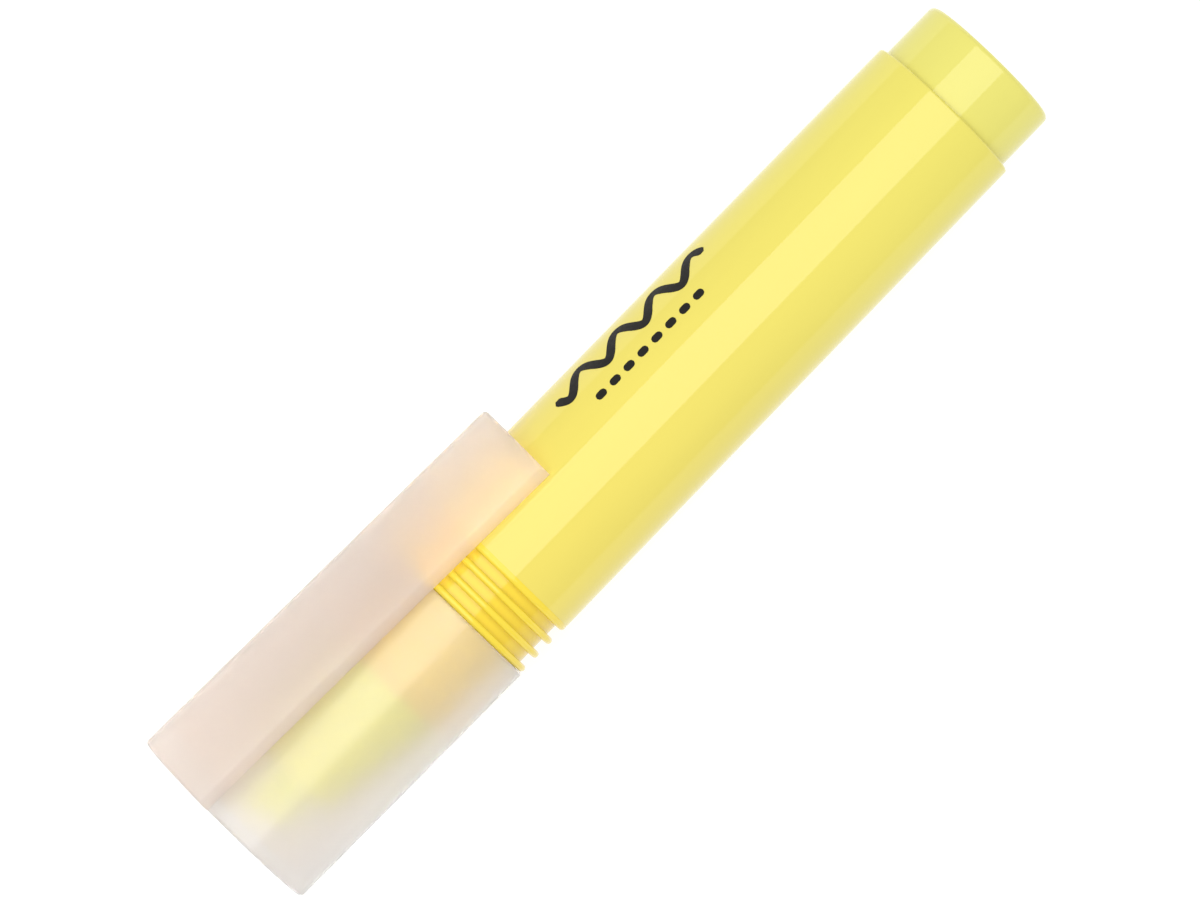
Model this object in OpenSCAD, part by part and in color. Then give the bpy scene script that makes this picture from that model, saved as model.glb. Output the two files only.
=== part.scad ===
// Fat round highlighter with a frosted push-on cap, lying on its side.
// The pen runs along X. The origin is the centre of the flat tail end, +X points
// to the writing tip, and the clip stands out towards -Y.

/* [Barrel] */
// Length of the barrel between the tail step and the first ring
barrel_len = 67.4; // [50:0.5:90]
// Outer radius of the barrel at the rings
barrel_front_r = 9.53; // [9.45:0.01:9.6]
// Outer radius of the barrel at the tail
barrel_tail_r = 9.34; // [9.2:0.01:9.45]
// Wall thickness of the barrel at the rings
barrel_wall = 1.3; // [1.2:0.05:1.35]
// Number of centring ribs inside the barrel
rib_count = 4; // [3:1:6]

/* [Tail plug] */
// Length of the tail that shows behind the barrel
tail_len = 7.2; // [5:0.1:10]
// Outer radius of the tail, which the cap also fits over
tail_r = 8.58; // [8.5:0.01:8.62]
// Edge radius of the tail end
tail_edge = 0.7; // [0.3:0.05:1.2]

/* [Rings and neck] */
// Number of rings between the barrel and the cap
ring_count = 4; // [2:1:6]
// Distance from one ring to the next
ring_pitch = 2.04; // [1.8:0.01:2.3]
// Thickness of one ring
ring_t = 0.83; // [0.6:0.01:1]
// Radius of the neck between the rings
ring_root_r = 8.6; // [8.4:0.01:8.8]
// Length of the neck inside the cap, before the shoulder
neck_len = 7.5; // [6:0.1:9]
// Length of the rounded shoulder
shoulder_len = 3.3; // [2.5:0.1:4]

/* [Nib] */
// Width of the fibre nib
nib_w = 4.9; // [4:0.1:5.4]
// Thickness of the fibre nib
nib_t = 3.3; // [2.6:0.1:3.6]
// How far the nib stands out of its holder
nib_out = 5.8; // [4:0.1:6.2]
// Length of the cone of the nib holder
holder_len = 14.2; // [12:0.1:14.5]

/* [Cap] */
// Length of the cap from its mouth to its closed end
cap_len = 33.3; // [32.6:0.1:36]
// Outer radius at the mouth
cap_mouth_r = 9.62; // [9.6:0.01:9.8]
// Outer radius at the closed end
cap_end_r = 9.33; // [9.3:0.01:9.5]
// Radial play between the neck and the cap
cap_play = 0.07; // [0.03:0.01:0.1]
// Thickness of the closed end
cap_floor = 1.5; // [1:0.1:1.8]

/* [Clip] */
// Length of the clip
clip_len = 50.5; // [44:0.5:56]
// Distance from the pen's axis to the clip's outer face, at the closed end
clip_face = 14.0; // [13.6:0.1:14.6]
// Half the width of the clip, across its two long edges
clip_half_w = 10.1; // [10.05:0.05:10.4]
// Distance from the pen's axis plane to the clip's outer corners
clip_corner = 5.5; // [5.2:0.1:5.8]
// Wall thickness of the clip
clip_wall = 1.3; // [1:0.05:1.5]
// Angle by which the clip leans in towards its free end
clip_lean = 1.4; // [1:0.1:1.5]
// Gap between the clip's free end and the barrel
clip_gap = 0.12; // [0.08:0.01:0.14]

/* [Hidden] */
$fn = 96;

// Stations along the pen, from the tail end
barrel_x = tail_len;
rings_x = barrel_x + barrel_len;
rings_end = rings_x + (ring_count - 1) * ring_pitch + ring_t;
cap_seat = 0.05;
cap_x = rings_end + cap_seat;
cap_end = cap_x + cap_len;
neck_end = rings_end + neck_len;
shoulder_end = neck_end + shoulder_len;
holder_end = shoulder_end + holder_len;
nib_tip = holder_end + nib_out;

// Barrel bore, ribs and the spigots that fill the bore
bore_r = barrel_front_r - barrel_wall;
barrel_edge = 0.3;
rib_w = 0.9;
rib_from = 17;
rib_to = 64;
rib_gap = 0.3;
rib_root_r = bore_r + barrel_wall / 2;
spigot_len = 7;
spigot_play = 0.03;
spigot_r = bore_r - spigot_play;
spigot_bore_r = 7.05;
spigot_lead = 0.5;

// Tail plug: wall and the cross that stops the reservoir
tail_wall = 1.4;
cross_t = 1.0;
cross_end = 10;
cross_root_r = spigot_bore_r + 0.3;

// Neck, shoulder and nib holder
neck_r = tail_r;
ring_step = 0.04;
shoulder_r = 7.5;
shoulder_arc = (pow(shoulder_len, 2) + pow(neck_r - shoulder_r, 2)) / (2 * (neck_r - shoulder_r));
holder_r = 4.75;
holder_edge = 0.5;
holder_spigot_r = 5.9;
holder_spigot_len = 6.5;
reservoir_web = 0.8;
reservoir_stop = shoulder_end - holder_spigot_len - spigot_play - reservoir_web;
holder_bore_r = 4.5;
holder_web_depth = 3;
holder_web_x = shoulder_end + holder_web_depth;
holder_step = 0.05;
nib_play = 0.02;
vent_r = 0.35;

// Reservoir: fibre core, film wrapped round it and the breather tube
core_r = 6.6;
film_t = 0.12;
film_gap = 0.02;
core_tail_gap = 0.2;
core_stop_gap = 0.3;
core_x = cross_end + core_tail_gap;
core_end = reservoir_stop - core_stop_gap;
nib_depth = 6;
tube_r = 0.6;
tube_bore_r = 0.35;
tube_depth = 0.15;
tube_at = core_r - tube_r - tube_depth;

// Nib chisel: slant across its width, bevel through its thickness, flat at its edge
nib_corner = 0.7;
nib_slant = 18;
nib_bevel = 32;
nib_land = 0.9;

// Cap bore, edges and draft
cap_bore_r = neck_r + cap_play;
cap_bore_end_r = 8.15;
cap_edge = 0.4;
cap_mouth_edge = 0.15;
cap_lead = 0.3;
cap_straight_past_neck = 1.5;
cap_straight = neck_len + cap_straight_past_neck;

// Clip section: an arc through the face and both corners, a wedge that slants both
// long edges in from the corners, and flat inner walls where the slants end
clip_arc_c = (pow(clip_face, 2) - pow(clip_corner, 2) - pow(clip_half_w, 2))
           / (2 * (clip_face - clip_corner));
clip_arc_r = clip_face - clip_arc_c;
clip_edge_slope = 0.56;
clip_edge_w = 1.25;
clip_inner = clip_corner - clip_edge_w;
clip_tip_half_w = clip_half_w - clip_edge_slope * clip_edge_w;
clip_edge_t = 0.2;
clip_hollow_half_w = clip_tip_half_w - clip_edge_t;
clip_hollow_face = clip_face - clip_wall;
clip_hollow_c = (pow(clip_hollow_face, 2) - pow(clip_inner, 2) - pow(clip_hollow_half_w, 2))
              / (2 * (clip_hollow_face - clip_inner));
clip_hollow_r = clip_hollow_face - clip_hollow_c;
clip_root = 3.2;
clip_lip = 1.2;
clip_seat_gap = 0.08;
clip_tip_edge = 0.45;
clip_end_edge = 0.3;
clip_lip_relief = 1.8;
clip_root_relief = 3.9;

// How far a cut reaches past the face it opens, and a length beyond every piece
past = 1;
far = 40;

// Turns a profile of [radius, station] points round the pen's axis
module turned() {
    rotate([0, 90, 0])
        rotate_extrude()
            children();
}

// What a quarter round takes off the corner of a profile.
// The solid lies inside radius r and on the dir side of station x.
module corner_cut(r, x, edge, dir) {
    difference() {
        translate([r - edge, dir > 0 ? x - past : x - edge])
            square(edge + past);
        translate([r - edge, x + dir * edge])
            circle(r = edge);
    }
}

// Extrudes a section of [across, side] points along the pen, from station x
module along(x, len) {
    translate([x, 0, 0])
        rotate([0, 90, 0])
            linear_extrude(height = len)
                children();
}

// The nib's section, larger all round by play
module nib_section(play) {
    corner = nib_corner + play;
    for (side = [-1, 1])
        for (across = [-1, 1])
            translate([across * (nib_t / 2 - nib_corner), side * (nib_w / 2 - nib_corner)])
                circle(r = corner, $fn = 32);
    square([nib_t + 2 * play, nib_w - 2 * nib_corner], center = true);
    square([nib_t - 2 * nib_corner, nib_w + 2 * play], center = true);
}

module barrel() {
    color([0.95, 0.88, 0.40]) {
        turned()
            difference() {
                polygon([[bore_r, barrel_x], [barrel_tail_r, barrel_x],
                         [barrel_tail_r, barrel_x + barrel_edge],
                         [barrel_front_r, rings_x], [bore_r, rings_x]]);
                corner_cut(barrel_tail_r, barrel_x, barrel_edge, 1);
            }
        for (i = [0:rib_count - 1])
            rotate([360 / rib_count * (i + 0.5), 0, 0])
                intersection() {
                    translate([rib_from, -rib_w / 2, 0])
                        cube([rib_to - rib_from, rib_w, rib_root_r]);
                    turned()
                        translate([core_r + rib_gap, rib_from])
                            square([rib_root_r - core_r - rib_gap, rib_to - rib_from]);
                }
    }
}

module tail_plug() {
    color([0.93, 0.90, 0.45]) {
        turned()
            difference() {
                polygon([[0, 0], [tail_r, 0], [tail_r, barrel_x], [spigot_r, barrel_x],
                         [spigot_r, barrel_x + spigot_len - spigot_lead],
                         [spigot_r - spigot_lead, barrel_x + spigot_len],
                         [spigot_bore_r, barrel_x + spigot_len],
                         [spigot_bore_r, tail_wall], [0, tail_wall]]);
                corner_cut(tail_r, 0, tail_edge, 1);
            }
        intersection() {
            for (turn = [0, 90])
                rotate([turn, 0, 0])
                    translate([tail_wall / 2, -cross_t / 2, -cross_root_r - past])
                        cube([cross_end - tail_wall / 2, cross_t, 2 * (cross_root_r + past)]);
            turned()
                square([cross_root_r, cross_end]);
        }
    }
}

module front_section() {
    color([0.97, 0.82, 0.25])
        turned()
            difference() {
                union() {
                    polygon([[0, rings_x - spigot_len], [spigot_r - spigot_lead, rings_x - spigot_len],
                             [spigot_r, rings_x - spigot_len + spigot_lead], [spigot_r, rings_x],
                             [ring_root_r, rings_x], [ring_root_r, rings_end],
                             [neck_r, rings_end], [neck_r, neck_end], [0, neck_end]]);
                    translate([0, rings_x])
                        square([barrel_front_r - ring_step, ring_t / 2]);
                    for (i = [0:ring_count - 1])
                        translate([0, rings_x + ring_t / 2 + i * ring_pitch]) {
                            translate([ring_root_r - past, -ring_t / 2])
                                square([barrel_front_r - ring_t / 2 - ring_root_r + past, ring_t]);
                            translate([barrel_front_r - ring_t / 2, 0])
                                circle(d = ring_t);
                        }
                    intersection() {
                        translate([neck_r - shoulder_arc, neck_end])
                            circle(r = shoulder_arc, $fn = 256);
                        translate([0, neck_end])
                            square([neck_r, shoulder_len]);
                    }
                }
                translate([-past, rings_x - spigot_len - past])
                    square([spigot_bore_r + past, reservoir_stop - rings_x + spigot_len + past]);
                translate([-past, reservoir_stop - past])
                    square([holder_bore_r + past, shoulder_end - reservoir_stop]);
                translate([-past, shoulder_end - holder_spigot_len - spigot_play])
                    square([holder_spigot_r + spigot_play + past, holder_spigot_len + past]);
            }
}

module nib_holder() {
    color([0.93, 0.93, 0.35])
        difference() {
            turned()
                difference() {
                    union() {
                        translate([0, shoulder_end - holder_spigot_len])
                            square([holder_spigot_r, holder_spigot_len]);
                        polygon([[0, shoulder_end], [shoulder_r - holder_step, shoulder_end],
                                 [holder_r, holder_end - holder_edge],
                                 [holder_r, holder_end], [0, holder_end]]);
                    }
                    corner_cut(holder_r, holder_end, holder_edge, -1);
                    translate([-past, shoulder_end - holder_spigot_len - past])
                        square([holder_bore_r + past, holder_web_depth + holder_spigot_len + past]);
                }
            along(holder_web_x - past, holder_end - holder_web_x + 2 * past) {
                nib_section(nib_play);
                for (across = [-1, 1])
                    translate([across * nib_t / 2, 0])
                        circle(r = vent_r, $fn = 24);
            }
        }
}

module nib() {
    color([0.90, 0.93, 0.20])
        difference() {
            along(core_end - nib_depth, nib_tip - core_end + nib_depth)
                nib_section(0);
            // Slant across the width of the tip
            translate([nib_tip, -nib_w / 2, 0])
                rotate([0, 0, nib_slant])
                    translate([0, -far / 2, -far / 2])
                        cube(far);
            // Bevels through the thickness, down to the flat at the edge
            for (side = [-1, 1])
                translate([nib_tip, -nib_w / 2, side * nib_land / 2])
                    rotate([0, 0, nib_slant])
                        rotate([0, side * nib_bevel, 0])
                            translate([-far / 2, -far / 2, side > 0 ? 0 : -far])
                                cube(far);
        }
}

module reservoir_core() {
    color([0.95, 0.92, 0.45])
        difference() {
            along(core_x, core_end - core_x)
                circle(r = core_r);
            along(core_end - nib_depth - nib_play, nib_depth + past)
                nib_section(nib_play);
            along(core_x - past, core_end - core_x + 2 * past) {
                translate([0, tube_at])
                    circle(r = tube_r + nib_play, $fn = 32);
                translate([-tube_r / 2, tube_at])
                    square([tube_r, tube_r + past]);
            }
        }
}

module reservoir_film() {
    color([0.96, 0.96, 0.90])
        along(core_x, core_end - core_x)
            difference() {
                circle(r = core_r + film_gap + film_t);
                circle(r = core_r + film_gap);
            }
}

module breather_tube() {
    color([0.97, 0.97, 0.94])
        along(core_x, core_end - core_x - nib_play)
            translate([0, tube_at])
                difference() {
                    circle(r = tube_r, $fn = 32);
                    circle(r = tube_bore_r, $fn = 32);
                }
}

module cap() {
    color([0.90, 0.87, 0.86])
        turned()
            difference() {
                polygon([[0, cap_x], [cap_mouth_r, cap_x], [cap_mouth_r, cap_x + cap_mouth_edge],
                         [cap_end_r, cap_end - cap_edge], [cap_end_r, cap_end], [0, cap_end]]);
                corner_cut(cap_mouth_r, cap_x, cap_mouth_edge, 1);
                corner_cut(cap_end_r, cap_end, cap_edge, -1);
                polygon([[-past, cap_x - past], [cap_bore_r + cap_lead, cap_x - past],
                         [cap_bore_r + cap_lead, cap_x], [cap_bore_r, cap_x + 2 * cap_lead],
                         [cap_bore_r, cap_x + cap_straight],
                         [cap_bore_end_r, cap_end - cap_floor - cap_edge],
                         [cap_bore_end_r - cap_edge, cap_end - cap_floor],
                         [-past, cap_end - cap_floor]]);
            }
}

// Half the clip's width on its slanted edges, at a distance side from the axis plane
function clip_edge_at(side) = clip_half_w + clip_edge_slope * (side - clip_corner);

// The clip's outer body, straight, with its free end at station 0
module clip_outer() {
    intersection() {
        translate([0, -clip_arc_c, 0])
            turned()
                difference() {
                    square([clip_arc_r, clip_len]);
                    corner_cut(clip_arc_r, 0, clip_tip_edge, 1);
                    corner_cut(clip_arc_r, clip_len, clip_end_edge, -1);
                }
        along(-past, clip_len + 2 * past)
            polygon([[clip_edge_at(clip_inner), -clip_inner], [clip_edge_at(far), -far],
                     [-clip_edge_at(far), -far], [-clip_edge_at(clip_inner), -clip_inner]]);
    }
}

// Hollow under an end wall at the root and a lip at the free end, and leaning in
// about its root. The lip clears the barrel and the root seats on the cap.
module clip() {
    color([0.90, 0.84, 0.84])
        difference() {
            translate([cap_end, -clip_inner, 0])
                rotate([0, 0, -clip_lean])
                    translate([-clip_len, clip_inner, 0])
                        difference() {
                            clip_outer();
                            along(clip_lip, clip_len - clip_lip - clip_root)
                                translate([0, -clip_hollow_c])
                                    circle(r = clip_hollow_r);
                        }
            along(cap_end - clip_len - past, past + clip_lip_relief)
                circle(r = barrel_front_r + clip_gap);
            along(cap_end - clip_root_relief, clip_root_relief + past)
                circle(r = cap_end_r + clip_seat_gap);
        }
}

barrel();
tail_plug();
front_section();
nib_holder();
nib();
reservoir_core();
reservoir_film();
breather_tube();
cap();
clip();
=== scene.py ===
"""Fat round highlighter on a pale floor: materials, moulded details, light and camera.

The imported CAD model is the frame. The pen lies along X with its tail at the origin and
the clip stands out towards -Y. A station is a place along X. Lengths are in metres, or in
millimetres where MM or a comment says so.
"""

import math

import bmesh
import bpy
from mathutils import Matrix, Vector


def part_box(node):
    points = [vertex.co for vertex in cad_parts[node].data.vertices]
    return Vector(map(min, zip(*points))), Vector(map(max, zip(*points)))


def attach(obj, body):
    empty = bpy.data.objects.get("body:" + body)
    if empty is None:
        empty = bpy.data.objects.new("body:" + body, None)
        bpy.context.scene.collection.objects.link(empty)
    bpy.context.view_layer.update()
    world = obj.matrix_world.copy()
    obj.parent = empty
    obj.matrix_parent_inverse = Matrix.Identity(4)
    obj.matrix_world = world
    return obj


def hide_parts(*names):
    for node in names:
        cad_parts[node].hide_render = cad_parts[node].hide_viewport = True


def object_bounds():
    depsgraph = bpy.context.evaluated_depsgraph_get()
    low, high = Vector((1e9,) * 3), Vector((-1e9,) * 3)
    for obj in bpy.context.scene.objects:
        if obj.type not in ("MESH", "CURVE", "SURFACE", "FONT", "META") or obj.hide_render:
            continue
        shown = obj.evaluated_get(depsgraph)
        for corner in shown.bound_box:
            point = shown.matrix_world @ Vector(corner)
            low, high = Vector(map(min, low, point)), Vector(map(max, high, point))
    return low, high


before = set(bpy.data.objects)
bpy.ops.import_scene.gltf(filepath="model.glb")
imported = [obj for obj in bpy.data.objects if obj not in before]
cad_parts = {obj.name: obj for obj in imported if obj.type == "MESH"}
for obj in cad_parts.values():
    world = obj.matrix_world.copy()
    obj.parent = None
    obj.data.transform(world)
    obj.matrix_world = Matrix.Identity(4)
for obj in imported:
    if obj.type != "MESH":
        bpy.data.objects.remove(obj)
cad_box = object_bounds()

MM = 0.001
CAP_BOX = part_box("cap")
BARREL_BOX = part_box("barrel")
TAIL_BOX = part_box("tail_plug")

# Camera: high over FOOT, looking at AIM. VIEW_WIDTH is what it spans at the pen's axis.
VIEW_WIDTH = 127.66 * MM
CAMERA_HEIGHT = 936 * MM
PEN_ANGLE = math.radians(45.83)
AIM = Vector((58.7 * MM, -1.03 * MM, 0))
FOOT = Vector((75 * MM, 0, 0))
SENSOR_WIDTH = 36.0
CAMERA_NEAR = 0.01
CAMERA_FAR = 20.0

# Light: a long softbox over the pen, an even white room and a floor that glows a little
SOFTBOX_HEIGHT = 600 * MM
SOFTBOX_FROM = math.radians(-31)
SOFTBOX_TO = math.radians(23)
SOFTBOX_LENGTH = 1.0
SOFTBOX_RADIANCE = 2.0
ROOM_RADIANCE = 0.60
FLOOR_GLOW = 0.7
FLOOR_SIZE = 6.0

# Cap, in millimetres: a drafted shell with rounded edges
CAP_MOUTH_R = 9.62
CAP_END_R = 9.33
CAP_BORE_R = 8.65
CAP_BORE_END_R = 8.15
CAP_STRAIGHT = 9.0
CAP_FLOOR = 1.5
CAP_EDGE = 0.45
CAP_LIP = 0.28

# Its dished end, in millimetres, with a gate mark: a ring-shaped trench round a low stub.
# The trench is given from outside to inside, as shares of the gate's depth and radius.
CAP_DISH = 0.12
CAP_RIM = 3 * CAP_EDGE
CAP_RIM_FOOT = 4 * CAP_EDGE
GATE_R = 0.9
GATE_DEPTH = 0.18
GATE_TRENCH = ((0, 2.0), (1, 1.5), (1, 1.0), (0, 0.7))

# Clip, in millimetres: an arched section with slanted edges, hollow between the lip at its
# free end and the root at its closed end. Its free end leans in towards the barrel.
CLIP_LEN = 50.5
CLIP_LEAN = math.radians(1.4)
CLIP_FACE = 14.0
CLIP_HALF_W = 10.1
CLIP_CORNER = 5.5
CLIP_CORNER_ROUND = 0.6
CLIP_EDGE_HALF_W = 9.4
CLIP_EDGE_MIDWAY = 0.7
CLIP_INNER = 4.25
CLIP_WALL = 1.3
CLIP_HOLLOW_HALF_W = 9.2
CLIP_LIP = 1.2
CLIP_LIP_BORE_R = 9.65
CLIP_ROOT = 3.2
CLIP_ROOT_BORE_R = 9.41
CLIP_END_ROUND = 0.45
CLIP_END_FLAT = 0.08
CLIP_BORE_EASE = 0.25
CLIP_STEP = 0.15
CLIP_STRETCHES = 12

# Felt nib: how finely it is remeshed, and how often it is smoothed
NIB_VOXEL = 0.16 * MM
NIB_SMOOTHING = 12

# Mark printed on the barrel, in millimetres along the pen and round it from the top
BARREL_FRONT_R = 9.53
BARREL_TAIL_R = 9.34
PRINT_RAISE = 0.02
WAVE_FROM = 36.0
WAVE_TO = 58.5
WAVE_ROUND = 9.3
WAVE_SWING = 1.35
WAVE_WIDTH = 1.15
WAVE_COUNT = 4
DASHES_FROM = 39.1
DASHES_TO = 55.2
DASHES_ROUND = 5.3
DASH_WIDTH = 0.95
DASH_COUNT = 8
DASH_SHARE = 0.66

# Moulding mark in the middle of the tail end, in millimetres
TAIL_GATE_R = 1.1
TAIL_GATE_RAISE = 0.1

# Mesh density and shading
TURN_STEPS = 128
ROUND_STEPS = 6
ARC_STEPS = 28
STROKE_STEPS = 140
DASH_STEPS = 16
WELD = 0.002 * MM
SHARP_FROM = math.radians(32)

# Moulded plastic, with its stations, sizes and depths in millimetres
PLASTIC_IOR = 1.49
WARMEST_STATION = 80
NECK_STATION = 81.5
NECK_FADE = 0.5
FLOW_MARK_SHADE = 0.97
ROUGHNESS_SWING = 0.04
RIPPLE_SIZE = 3
RIPPLE_DEPTH = 0.004

# Colour sockets of the Mix node, whose names it also gives to its other sockets
MIX_FIRST = 6
MIX_SECOND = 7
MIX_RESULT = 2

WHITE = (1, 1, 1, 1)


def rgb(r, g, b):
    """A colour given as sRGB values from 0 to 255, in the linear form that Cycles takes."""

    def linear(value):
        share = value / 255
        return share / 12.92 if share <= 0.04045 else ((share + 0.055) / 1.055) ** 2.4

    return (linear(r), linear(g), linear(b), 1.0)


# ---------------------------------------------------------------- node helpers


class Shader:
    """A material with one Principled shader, and short calls for its texture nodes."""

    def __init__(self, name):
        self.material = bpy.data.materials.new(name)
        self.material.use_nodes = True
        self.tree = self.material.node_tree
        self.surface = self.tree.nodes["Principled BSDF"]
        self.place = self.tree.nodes.new("ShaderNodeTexCoord").outputs["Object"]

    def put(self, **values):
        """Sets the shader's own sockets; an underscore stands for a space."""
        for name, value in values.items():
            self.surface.inputs[name.replace("_", " ")].default_value = value

    def link(self, source, target):
        """Links an output to an input."""
        self.tree.links.new(source, target)

    def feed(self, socket, value):
        """Sets a socket to a number or a colour, or links it to another node."""
        if isinstance(value, bpy.types.NodeSocket):
            self.link(value, socket)
        else:
            socket.default_value = value

    def grain(self, size_mm, stretch=1.0, detail=3.0):
        """Noise with features about size_mm wide, drawn out along the pen by stretch."""
        mapping = self.tree.nodes.new("ShaderNodeMapping")
        mapping.inputs["Scale"].default_value = (1 / stretch, 1, 1)
        noise = self.tree.nodes.new("ShaderNodeTexNoise")
        noise.inputs["Scale"].default_value = 1 / (size_mm * MM)
        noise.inputs["Detail"].default_value = detail
        self.link(self.place, mapping.inputs["Vector"])
        self.link(mapping.outputs["Vector"], noise.inputs["Vector"])
        return noise.outputs["Fac"]

    def spread(self, value, low, high, start=0.3, end=0.7):
        """Turns a value into low at start, high at end, and a number between in between."""
        node = self.tree.nodes.new("ShaderNodeMapRange")
        node.inputs["From Min"].default_value = start
        node.inputs["From Max"].default_value = end
        self.feed(node.inputs["To Min"], low)
        self.feed(node.inputs["To Max"], high)
        self.link(value, node.inputs["Value"])
        return node.outputs["Result"]

    def along_pen(self, start_mm, end_mm):
        """0 up to one station of the pen, 1 from the other on, and evenly in between."""
        split = self.tree.nodes.new("ShaderNodeSeparateXYZ")
        self.link(self.place, split.inputs["Vector"])
        return self.spread(split.outputs["X"], 0, 1, start_mm * MM, end_mm * MM)

    def blend(self, factor, first, second):
        """A colour between first and second."""
        node = self.tree.nodes.new("ShaderNodeMix")
        node.data_type = "RGBA"
        self.link(factor, node.inputs["Factor"])
        self.feed(node.inputs[MIX_FIRST], first)
        self.feed(node.inputs[MIX_SECOND], second)
        return node.outputs[MIX_RESULT]

    def shaded(self, colour, share):
        """The colour, darkened to a share of itself."""
        node = self.tree.nodes.new("ShaderNodeVectorMath")
        node.operation = "SCALE"
        self.link(colour, node.inputs["Vector"])
        self.link(share, node.inputs["Scale"])
        return node.outputs["Vector"]

    def colour(self, source):
        """Takes the base colour from a node."""
        self.link(source, self.surface.inputs["Base Color"])

    def roughness(self, source):
        """Takes the roughness from a node."""
        self.link(source, self.surface.inputs["Roughness"])

    def bump(self, height, depth_mm):
        """Raises the surface by height times depth_mm."""
        node = self.tree.nodes.new("ShaderNodeBump")
        node.inputs["Distance"].default_value = depth_mm * MM
        self.link(height, node.inputs["Height"])
        self.link(node.outputs["Normal"], self.surface.inputs["Normal"])

    def ripple(self):
        """The faint waviness of a moulded skin."""
        self.bump(self.grain(RIPPLE_SIZE, stretch=2, detail=1), RIPPLE_DEPTH)

    def let_lamps_through(self, tint):
        """Lets light from the lamps and the room reach what the plastic holds."""
        path = self.tree.nodes.new("ShaderNodeLightPath")
        open_way = self.tree.nodes.new("ShaderNodeBsdfTransparent")
        open_way.inputs["Color"].default_value = tint
        mix = self.tree.nodes.new("ShaderNodeMixShader")
        factor, elsewhere, on_shadow_rays = mix.inputs
        self.link(path.outputs["Is Shadow Ray"], factor)
        self.link(self.surface.outputs["BSDF"], elsewhere)
        self.link(open_way.outputs["BSDF"], on_shadow_rays)
        self.link(mix.outputs["Shader"], self.tree.nodes["Material Output"].inputs["Surface"])


# ------------------------------------------------------------------- materials


def moulded_yellow(name, tail_colour, front_colour, gloss, satin, rough_tail, rough_neck):
    """Ink-yellow plastic. Its colour can shift along the pen, and its roughness at the neck."""
    look = Shader(name)
    flow = look.spread(look.grain(5, stretch=6), FLOW_MARK_SHADE, 1.0)
    shift = look.blend(look.along_pen(0, WARMEST_STATION), tail_colour, front_colour)
    look.colour(look.shaded(shift, flow))
    neck = look.along_pen(NECK_STATION, NECK_STATION + NECK_FADE)
    smoother = look.spread(neck, rough_tail - ROUGHNESS_SWING, rough_neck - ROUGHNESS_SWING, 0, 1)
    rougher = look.spread(neck, rough_tail + ROUGHNESS_SWING, rough_neck + ROUGHNESS_SWING, 0, 1)
    look.roughness(look.spread(look.grain(1.5, stretch=3), smoother, rougher))
    look.ripple()
    look.put(
        IOR=PLASTIC_IOR,
        Specular_IOR_Level=satin,
        Coat_Weight=gloss,
        Coat_Roughness=0.04,
        Coat_IOR=1.5,
    )
    return look.material


def frosted(name, tint, shade, lamp_tint, roughness, satin, coat, clear, spread_mm):
    """Milky see-through plastic: a frosted body with some satin shine under a smooth skin."""
    look = Shader(name)
    look.colour(look.blend(look.spread(look.grain(4, stretch=3), 0, 1), tint, shade))
    frost = look.grain(1.2, stretch=2)
    look.roughness(look.spread(frost, roughness - ROUGHNESS_SWING, roughness + ROUGHNESS_SWING))
    look.ripple()
    look.put(
        Transmission_Weight=clear,
        Subsurface_Weight=1.0,
        Subsurface_Radius=(1.0, 1.0, 1.0),
        Subsurface_Scale=spread_mm * MM,
        Specular_IOR_Level=satin,
        IOR=PLASTIC_IOR,
        Coat_Weight=coat,
        Coat_Roughness=0.02,
        Coat_IOR=1.45,
    )
    look.let_lamps_through(lamp_tint)
    return look.material


def felt(name, light, dark, fibre_mm):
    """Pressed fibre: fine strands along the pen, soaked unevenly with ink."""
    look = Shader(name)
    strands = look.grain(fibre_mm, stretch=14, detail=5)
    look.colour(look.blend(look.spread(strands, 0, 1), light, dark))
    look.roughness(look.spread(strands, 0.75, 0.95))
    look.bump(strands, 0.05)
    look.put(Subsurface_Weight=0.6, Subsurface_Radius=(1.0, 0.9, 0.3), Subsurface_Scale=1 * MM)
    return look.material


def clear_plastic(name, tint):
    """Thin clear film or tube."""
    look = Shader(name)
    look.colour(look.blend(look.grain(3, stretch=4), tint, rgb(255, 255, 250)))
    look.roughness(look.spread(look.grain(2), 0.12, 0.2))
    look.put(Transmission_Weight=0.8, IOR=1.45)
    return look.material


def white_floor():
    """Matt white sheet that is faintly lit from below, like a light table."""
    look = Shader("white_floor")
    look.colour(look.blend(look.grain(40), rgb(172, 172, 172), rgb(169, 169, 169)))
    look.put(Roughness=0.9, Emission_Color=WHITE, Emission_Strength=FLOOR_GLOW)
    return look.material


def print_black():
    """Satin black ink printed on the barrel."""
    look = Shader("print_black_look")
    look.colour(look.blend(look.grain(0.6), rgb(24, 23, 20), rgb(30, 29, 24)))
    look.roughness(look.spread(look.grain(0.4), 0.5, 0.65))
    look.put(IOR=1.3)
    return look.material


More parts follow.
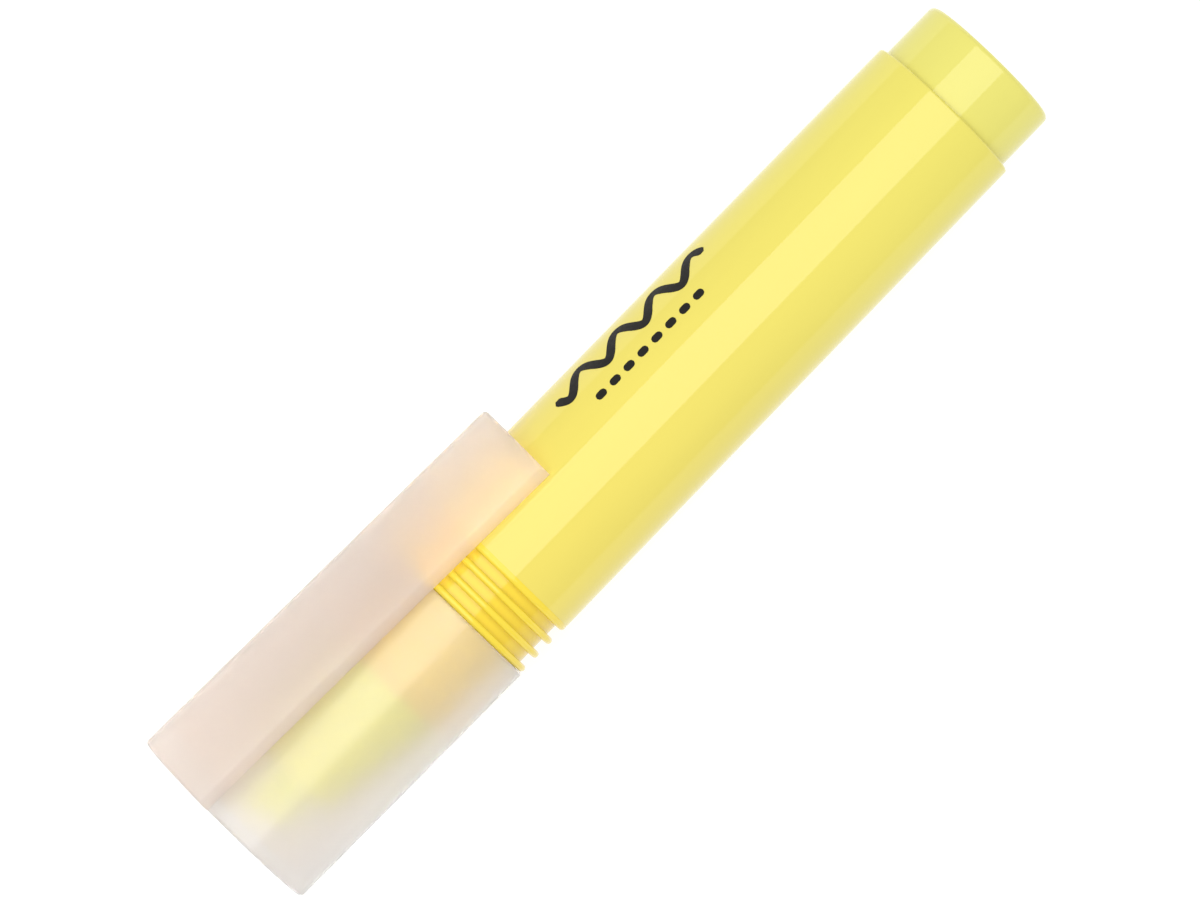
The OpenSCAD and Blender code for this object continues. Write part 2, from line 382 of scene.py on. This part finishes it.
FROSTED_CAP = frosted(
    "frosted_cap_look",
    tint=rgb(250, 245, 242),
    shade=rgb(249, 244, 241),
    lamp_tint=rgb(202, 197, 191),
    roughness=0.5,
    satin=0.0,
    coat=0.75,
    clear=0.87,
    spread_mm=2.0,
)
FROSTED_CLIP = frosted(
    "frosted_clip_look",
    tint=rgb(255, 246, 241),
    shade=rgb(254, 245, 240),
    lamp_tint=rgb(196, 178, 156),
    roughness=0.7,
    satin=0.3,
    coat=0.35,
    clear=0.8,
    spread_mm=3.0,
)
BARREL_YELLOW = moulded_yellow(
    "barrel_yellow_look",
    tail_colour=rgb(223, 213, 100),
    front_colour=rgb(229, 211, 97),
    gloss=1.0,
    satin=0.0,
    rough_tail=0.31,
    rough_neck=0.31,
)
TAIL_YELLOW = moulded_yellow(
    "tail_yellow_look",
    tail_colour=rgb(221, 214, 109),
    front_colour=rgb(221, 214, 109),
    gloss=1.0,
    satin=0.0,
    rough_tail=0.31,
    rough_neck=0.31,
)
FRONT_AMBER = moulded_yellow(
    "front_amber_look",
    tail_colour=rgb(238, 212, 62),
    front_colour=rgb(238, 212, 62),
    gloss=0.0,
    satin=0.5,
    rough_tail=0.11,
    rough_neck=0.5,
)
HOLDER_LIME = moulded_yellow(
    "holder_lime_look",
    tail_colour=rgb(230, 232, 80),
    front_colour=rgb(230, 232, 80),
    gloss=0.0,
    satin=0.5,
    rough_tail=0.5,
    rough_neck=0.5,
)
NIB_FIBRE = felt("nib_fibre_look", rgb(235, 240, 70), rgb(222, 230, 48), fibre_mm=0.12)
CORE_FIBRE = felt("core_fibre_look", rgb(244, 236, 90), rgb(232, 220, 60), fibre_mm=0.2)
FILM_CLEAR = clear_plastic("clear_film_look", rgb(246, 244, 220))
TUBE_WHITE = clear_plastic("tube_white_look", rgb(240, 240, 230))
PRINT_BLACK = print_black()

# The CAD solids that are shown as they are
FINISHES = {
    "barrel": BARREL_YELLOW,
    "tail_plug": TAIL_YELLOW,
    "front_section": FRONT_AMBER,
    "nib_holder": HOLDER_LIME,
    "reservoir_core": CORE_FIBRE,
    "reservoir_film": FILM_CLEAR,
    "breather_tube": TUBE_WHITE,
}
for node_name, finish in FINISHES.items():
    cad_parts[node_name].material_slots[0].material = finish


# ------------------------------------------------------------------ mesh tools


def make_piece(name, shape, finish, body):
    """A smooth-shaded piece from points in millimetres, in the pen's frame, and faces."""
    points, faces = shape
    mesh = bpy.data.meshes.new(name)
    mesh.from_pydata([Vector(point) * MM for point in points], [], faces)
    work = bmesh.new()
    work.from_mesh(mesh)
    bmesh.ops.remove_doubles(work, verts=work.verts, dist=WELD)
    bmesh.ops.recalc_face_normals(work, faces=work.faces)
    work.to_mesh(mesh)
    work.free()
    mesh.shade_smooth()
    mesh.set_sharp_from_angle(angle=SHARP_FROM)
    mesh.materials.append(finish)
    piece = bpy.data.objects.new(name, mesh)
    bpy.context.scene.collection.objects.link(piece)
    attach(piece, body)
    return piece


def loft(rings, closed):
    """Points and faces of a skin over rings that all have the same number of points."""
    count = len(rings[0])
    points = [point for ring in rings for point in ring]
    faces = []
    for ring in range(len(rings) - 1):
        low = ring * count
        for i in range(count if closed else count - 1):
            j = (i + 1) % count
            faces.append((low + i, low + j, low + count + j, low + count + i))
    return points, faces


def joined(shapes):
    """Several shapes as one list of points and one of faces."""
    points = []
    faces = []
    for more_points, more_faces in shapes:
        faces += [tuple(len(points) + index for index in face) for face in more_faces]
        points += more_points
    return points, faces


def turned(profile):
    """Turns a profile of (station, radius) that starts and ends on the pen's axis."""
    rings = []
    for step in range(TURN_STEPS + 1):
        angle = 2 * math.pi * step / TURN_STEPS
        rings.append([(x, r * math.cos(angle), r * math.sin(angle)) for x, r in profile])
    return loft(rings, closed=False)


def rounding(station, radius, edge, start, end):
    """Profile points on an arc of radius edge about (station, radius), from start to end degrees."""
    points = []
    for i in range(ROUND_STEPS + 1):
        angle = math.radians(start + (end - start) * i / ROUND_STEPS)
        points.append((station + edge * math.cos(angle), radius + edge * math.sin(angle)))
    return points


# ---------------------------------------------------------------- cap and clip


def add_cap():
    """The cap as one turned shell: rounded mouth, draft, and a dished end with a gate mark."""
    mouth = CAP_BOX[0].x / MM
    end = CAP_BOX[1].x / MM
    inside = end - CAP_FLOOR
    dish = end - CAP_DISH
    profile = [(inside, 0)]
    profile += rounding(inside - CAP_EDGE, CAP_BORE_END_R - CAP_EDGE, CAP_EDGE, 0, 90)
    profile += [(mouth + CAP_STRAIGHT, CAP_BORE_R)]
    profile += rounding(mouth + CAP_LIP, CAP_BORE_R + CAP_LIP, CAP_LIP, 270, 180)
    profile += rounding(mouth + CAP_LIP, CAP_MOUTH_R - CAP_LIP, CAP_LIP, 180, 90)
    profile += rounding(end - CAP_EDGE, CAP_END_R - CAP_EDGE, CAP_EDGE, 90, 0)
    profile += [(end, CAP_END_R - CAP_RIM), (dish, CAP_END_R - CAP_RIM_FOOT)]
    profile += [(dish - deep * GATE_DEPTH, wide * GATE_R) for deep, wide in GATE_TRENCH]
    profile += [(dish, 0)]
    piece = make_piece("cap_shell", turned(profile), FROSTED_CAP, "cap")
    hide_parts("cap")


def clip_place(station, across, side):
    """From the clip's own straight frame, free end at station 0, to the pen's frame."""
    back = CLIP_LEN - station
    inward = CLIP_INNER - side
    x = inward * math.sin(CLIP_LEAN) - back * math.cos(CLIP_LEAN)
    y = inward * math.cos(CLIP_LEAN) + back * math.sin(CLIP_LEAN)
    return (CAP_BOX[1].x / MM + x, y - CLIP_INNER, across)


def pen_axis_side(station):
    """Where the pen's axis lies in the clip's own frame."""
    back = CLIP_LEN - station
    return CLIP_INNER - (CLIP_INNER - back * math.sin(CLIP_LEAN)) / math.cos(CLIP_LEAN)


def arch(face, half_w, side):
    """Centre and radius of the arc through the middle of the face and both corners."""
    centre = (face**2 - side**2 - half_w**2) / (2 * (face - side))
    return centre, face - centre


def on_arch(centre, radius, angle):
    """The point (across, side) of an arc at an angle from its middle."""
    return Vector((radius * math.sin(angle), centre + radius * math.cos(angle)))


def arch_meets_line(centre, radius, at_axis, slope):
    """The side at which an arch meets the line whose across is at_axis + slope * side."""
    # Solves a * side**2 + 2 * half_b * side + c = 0
    a = 1 + slope**2
    half_b = slope * at_axis - centre
    c = at_axis**2 + centre**2 - radius**2
    return (math.sqrt(half_b**2 - a * c) - half_b) / a


def clip_skin(inset):
    """Half the outer line as (across, side): arch, rounded corner and slanted edge."""
    centre, radius = arch(CLIP_FACE, CLIP_HALF_W, CLIP_CORNER)
    radius -= inset
    slope = (CLIP_HALF_W - CLIP_EDGE_HALF_W) / (CLIP_CORNER - CLIP_INNER)
    at_axis = CLIP_HALF_W - slope * CLIP_CORNER
    side = arch_meets_line(centre, radius, at_axis, slope)
    corner = Vector((at_axis + slope * side, side))
    edge = Vector((CLIP_EDGE_HALF_W, CLIP_INNER))
    arch_end = math.acos((side - centre) / radius)
    turn = math.pi / 2 - arch_end + math.atan(slope)
    trim = CLIP_CORNER_ROUND * math.tan(turn / 2)
    start = arch_end - trim / radius
    line = [on_arch(centre, radius, start * i / ARC_STEPS) for i in range(ARC_STEPS + 1)]
    hub = line[-1] - CLIP_CORNER_ROUND * Vector((math.sin(start), math.cos(start)))
    for i in range(1, ROUND_STEPS + 1):
        angle = start + (turn + trim / radius) * i / ROUND_STEPS
        line.append(hub + CLIP_CORNER_ROUND * Vector((math.sin(angle), math.cos(angle))))
    return line + [corner.lerp(edge, CLIP_EDGE_MIDWAY), edge]


def clip_bore(centre, radius):
    """Half the inner line as (across, side), from the edge to the middle."""
    start = math.acos((CLIP_INNER - centre) / radius)
    return [on_arch(centre, radius, start * (1 - i / ARC_STEPS)) for i in range(ARC_STEPS + 1)]


def clip_ring(station, inset, bore_r):
    """The whole section at a station. Without a bore radius it is the hollow one."""
    if bore_r is None:
        inner = clip_bore(*arch(CLIP_FACE - CLIP_WALL, CLIP_HOLLOW_HALF_W, CLIP_INNER))
    else:
        inner = clip_bore(pen_axis_side(station), bore_r + CLIP_BORE_EASE * inset)
    half = clip_skin(inset) + inner
    ring = [clip_place(station, point.x, point.y) for point in half]
    ring += [clip_place(station, -point.x, point.y) for point in reversed(half[1:-1])]
    return ring


def add_clip():
    """The arched clip: lip at its free end, hollow over the barrel, root on the cap."""
    ends = [(0, CLIP_END_ROUND + CLIP_END_FLAT)]
    for i in reversed(range(ROUND_STEPS + 1)):
        angle = math.radians(90 * i / ROUND_STEPS)
        ends.append((CLIP_END_ROUND * (1 - math.sin(angle)), CLIP_END_ROUND * (1 - math.cos(angle))))
    rings = [clip_ring(station, inset, CLIP_LIP_BORE_R) for station, inset in ends]
    rings.append(clip_ring(CLIP_LIP, 0, CLIP_LIP_BORE_R))
    first = CLIP_LIP + CLIP_STEP
    last = CLIP_LEN - CLIP_ROOT - CLIP_STEP
    for i in range(CLIP_STRETCHES + 1):
        rings.append(clip_ring(first + (last - first) * i / CLIP_STRETCHES, 0, None))
    rings.append(clip_ring(CLIP_LEN - CLIP_ROOT, 0, CLIP_ROOT_BORE_R))
    for station, inset in reversed(ends):
        rings.append(clip_ring(CLIP_LEN - station, inset, CLIP_ROOT_BORE_R))
    points, faces = loft(rings, closed=True)
    count = len(rings[0])
    faces.append(tuple(range(count)))
    faces.append(tuple(range(len(points) - count, len(points))))
    piece = make_piece("clip_arch", (points, faces), FROSTED_CLIP, "clip")
    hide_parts("clip")


# ------------------------------------------------- nib, printed mark, tail end


def add_nib():
    """The nib with its edges softened, as pressed fibre has them."""
    piece = bpy.data.objects.new("nib_felt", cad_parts["nib"].data.copy())
    bpy.context.scene.collection.objects.link(piece)
    remesh = piece.modifiers.new("fine", "REMESH")
    remesh.mode = "VOXEL"
    remesh.voxel_size = NIB_VOXEL
    smooth = piece.modifiers.new("soft", "SMOOTH")
    smooth.iterations = NIB_SMOOTHING
    finished = piece.evaluated_get(bpy.context.evaluated_depsgraph_get())
    mesh = bpy.data.meshes.new_from_object(finished)
    piece.modifiers.clear()
    piece.data = mesh
    mesh.shade_smooth()
    mesh.materials.clear()
    mesh.materials.append(NIB_FIBRE)
    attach(piece, "pen")
    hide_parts("nib")


def on_barrel(x, around, height):
    """A point over the barrel, around being the way from its top towards the clip."""
    start = BARREL_BOX[0].x / MM
    end = BARREL_BOX[1].x / MM
    radius = BARREL_TAIL_R + (BARREL_FRONT_R - BARREL_TAIL_R) * (x - start) / (end - start)
    angle = around / radius
    radius += height
    return (x, -radius * math.sin(angle), radius * math.cos(angle))


def ink_film(path, width):
    """A thin film of ink with round ends along a path of (x, around) on the barrel."""
    path = [Vector(place) for place in path]
    half = width / 2
    rings = []
    for i, place in enumerate(path):
        along = (path[min(i + 1, len(path) - 1)] - path[max(i - 1, 0)]).normalized()
        across = Vector((-along.y, along.x))
        short = max(0, half - min((place - path[0]).length, (place - path[-1]).length))
        reach = math.sqrt(half**2 - short**2)
        top = [(side, PRINT_RAISE) for side in (-reach, 0, reach)]
        base = [(side, -PRINT_RAISE) for side in (reach, 0, -reach)]
        ring = []
        for side, height in top + base:
            spot = place + across * side
            ring.append(on_barrel(spot.x, spot.y, height))
        rings.append(ring)
    return loft(rings, closed=True)


def add_printed_mark():
    """A generic mark where such pens are printed: a marker's wavy stroke over a row of dashes."""
    wave = []
    for i in range(STROKE_STEPS + 1):
        share = i / STROKE_STEPS
        swing = WAVE_SWING * math.sin(2 * math.pi * WAVE_COUNT * share)
        wave.append((WAVE_FROM + (WAVE_TO - WAVE_FROM) * share, WAVE_ROUND + swing))
    make_piece("printed_wave", ink_film(wave, WAVE_WIDTH), PRINT_BLACK, "pen")
    dashes = []
    pitch = (DASHES_TO - DASHES_FROM) / (DASH_COUNT - 1 + DASH_SHARE)
    for dash in range(DASH_COUNT):
        start = DASHES_FROM + dash * pitch
        steps = [start + pitch * DASH_SHARE * i / DASH_STEPS for i in range(DASH_STEPS + 1)]
        dashes.append(ink_film([(x, DASHES_ROUND) for x in steps], DASH_WIDTH))
    make_piece("printed_dashes", joined(dashes), PRINT_BLACK, "pen")


def add_tail_gate():
    """The small round mark that moulding leaves in the middle of the tail end."""
    tail = TAIL_BOX[0].x / MM
    root = tail + TAIL_GATE_RAISE
    face = tail - TAIL_GATE_RAISE
    dimple = tail - TAIL_GATE_RAISE / 2
    profile = [(root, 0), (root, TAIL_GATE_R)]
    profile += rounding(tail, TAIL_GATE_R - TAIL_GATE_RAISE, TAIL_GATE_RAISE, 90, 180)
    profile += [(face, TAIL_GATE_R / 2), (dimple, TAIL_GATE_R / 3), (dimple, 0)]
    make_piece("tail_gate", turned(profile), TAIL_YELLOW, "pen")


add_cap()
add_clip()
add_nib()
add_printed_mark()
add_tail_gate()


# -------------------------------------------------------- floor, light, camera


def add_floor():
    """A wide sheet that the pen lies on."""
    lowest = cad_box[0].z
    bpy.ops.mesh.primitive_plane_add(size=FLOOR_SIZE, location=(AIM.x, AIM.y, lowest))
    floor = bpy.context.object
    floor.name = "floor"
    floor.data.materials.append(white_floor())


def add_softbox():
    """A rectangle over the pen that spans the set angles, seen from the pen's axis."""
    near = SOFTBOX_HEIGHT * math.tan(SOFTBOX_FROM)
    far = SOFTBOX_HEIGHT * math.tan(SOFTBOX_TO)
    light = bpy.data.lights.new("softbox", "AREA")
    light.shape = "RECTANGLE"
    light.size = SOFTBOX_LENGTH
    light.size_y = far - near
    light.energy = SOFTBOX_RADIANCE * math.pi * light.size * light.size_y
    softbox = bpy.data.objects.new("softbox", light)
    softbox.location = (AIM.x, (near + far) / 2, SOFTBOX_HEIGHT)
    softbox.visible_camera = False
    bpy.context.scene.collection.objects.link(softbox)


def add_room():
    """An evenly lit white room all round."""
    world = bpy.data.worlds.new("room")
    world.use_nodes = True
    background = world.node_tree.nodes["Background"]
    background.inputs["Color"].default_value = WHITE
    background.inputs["Strength"].default_value = ROOM_RADIANCE
    bpy.context.scene.world = world


def add_camera():
    """Looks down at AIM, with the pen's +X pointing PEN_ANGLE below the left of the image."""
    camera = bpy.data.cameras.new("camera")
    camera.sensor_width = SENSOR_WIDTH
    camera.lens = SENSOR_WIDTH * CAMERA_HEIGHT / VIEW_WIDTH
    camera.clip_start = CAMERA_NEAR
    camera.clip_end = CAMERA_FAR
    holder = bpy.data.objects.new("camera", camera)
    bpy.context.scene.collection.objects.link(holder)
    place = FOOT + Vector((0, 0, CAMERA_HEIGHT))
    back = (place - AIM).normalized()
    up = Vector((-math.sin(PEN_ANGLE), -math.cos(PEN_ANGLE), 0))
    right = up.cross(back).normalized()
    up = back.cross(right)
    turn = Matrix((right, up, back)).transposed()
    holder.matrix_world = Matrix.Translation(place) @ turn.to_4x4()
    bpy.context.scene.camera = holder


add_floor()
add_softbox()
add_room()
add_camera()
bpy.context.scene.view_settings.view_transform = "Standard"
